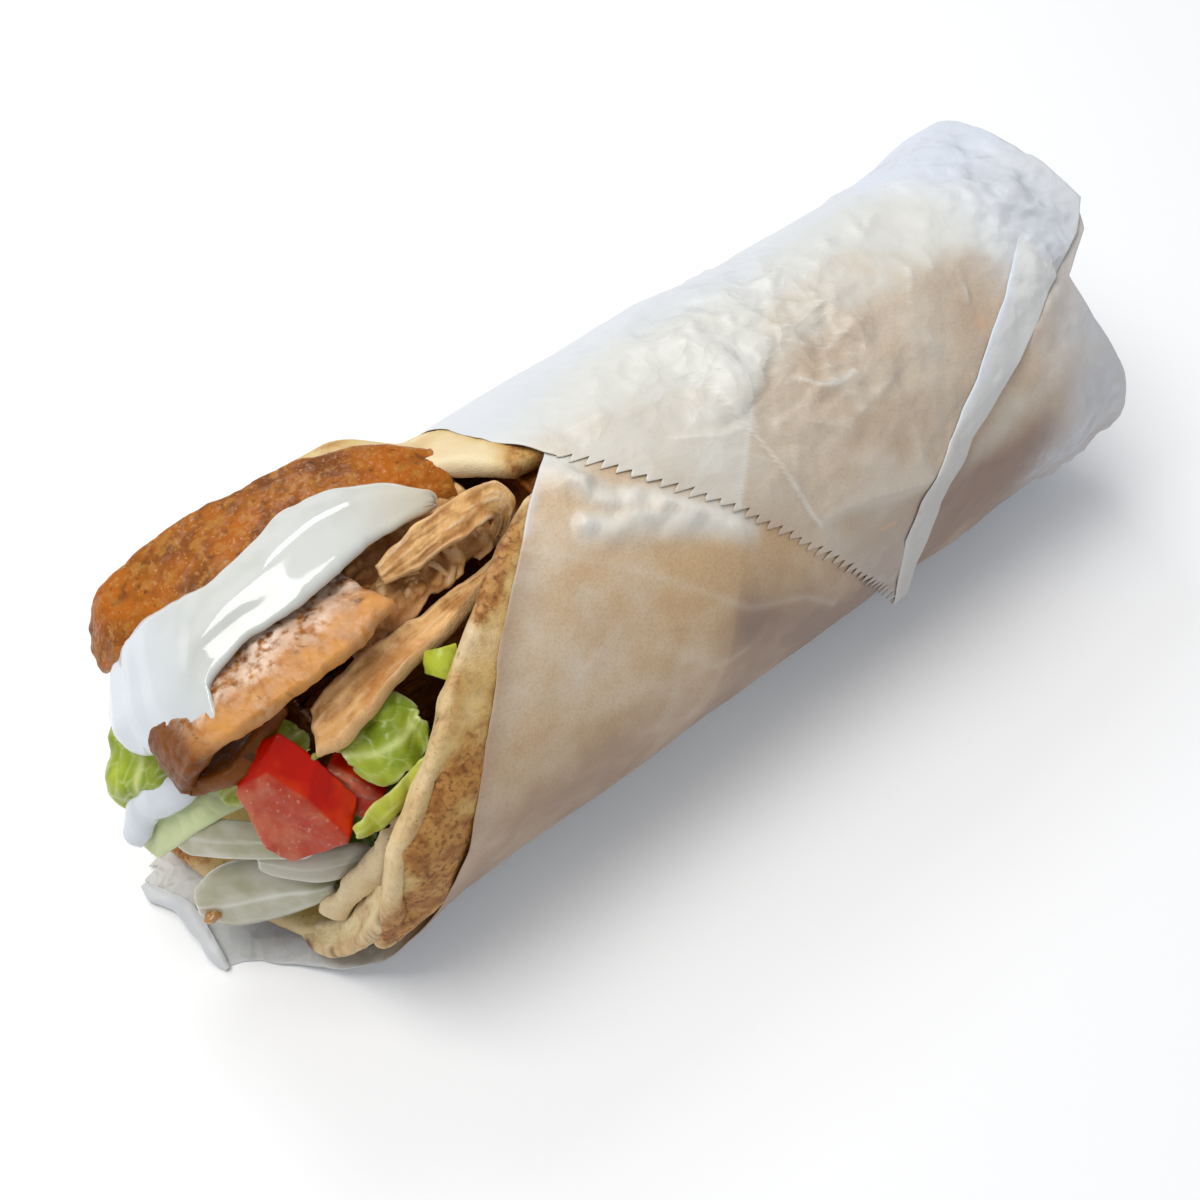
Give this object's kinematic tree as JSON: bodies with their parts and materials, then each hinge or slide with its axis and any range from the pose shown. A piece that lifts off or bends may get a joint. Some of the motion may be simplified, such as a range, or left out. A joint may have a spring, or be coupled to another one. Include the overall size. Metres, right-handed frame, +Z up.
{
  "type": "gyro wrap",
  "caption": "Rolled flatbread with shaved roast meat, white sauce, tomato, onion and lettuce, lying in its own twisted paper wrapper, open at one end.",
  "frame": {"origin": "centre of the bounding box's underside, on the surface that the roll lies on", "axes": "+X along the roll from the open mouth to the folded paper end, +Z up"},
  "size_m": [0.2487, 0.0865, 0.0862],
  "materials": {
    "paper": "thin waxed food paper, satin, creased, translucent over the bread",
    "bread": "soft flatbread with toasted patches, matt",
    "roast_meat": "roasted meat slices with glossy fat and dark flecks",
    "packed_meat": "packed shaved meat, in shadow behind the slices",
    "packed_salad": "packed salad, in shadow behind the onions",
    "white_sauce": "thick glossy yoghurt sauce",
    "lettuce": "fresh lettuce with pale veins, semi-gloss",
    "onion": "raw onion slices, wet and slightly translucent",
    "tomato": "fresh tomato, glossy skin and wet cut faces",
    "green_pepper": "cut ring of mild green pepper, wet"
  },
  "bodies": {
    "root": {"paper_wrap": "paper", "pita": "bread", "meat_bed": "packed_meat", "salad_bed": "packed_salad", "meat_slice_back": "roast_meat", "meat_slice_folded": "roast_meat", "meat_strip_upper": "roast_meat", "meat_slice_lower": "roast_meat", "meat_shreds": "roast_meat", "sauce_ribbon": "white_sauce", "sauce_dollop": "white_sauce", "lettuce_left": "lettuce", "lettuce_rib": "lettuce", "lettuce_centre": "lettuce", "lettuce_sprig": "lettuce", "lettuce_dark": "lettuce", "onion_arc": "onion", "onion_slice": "onion", "onion_back": "onion", "tomato_wedge": "tomato", "tomato_piece": "tomato", "pepper_ring": "green_pepper"}
  },
  "joints": []
}
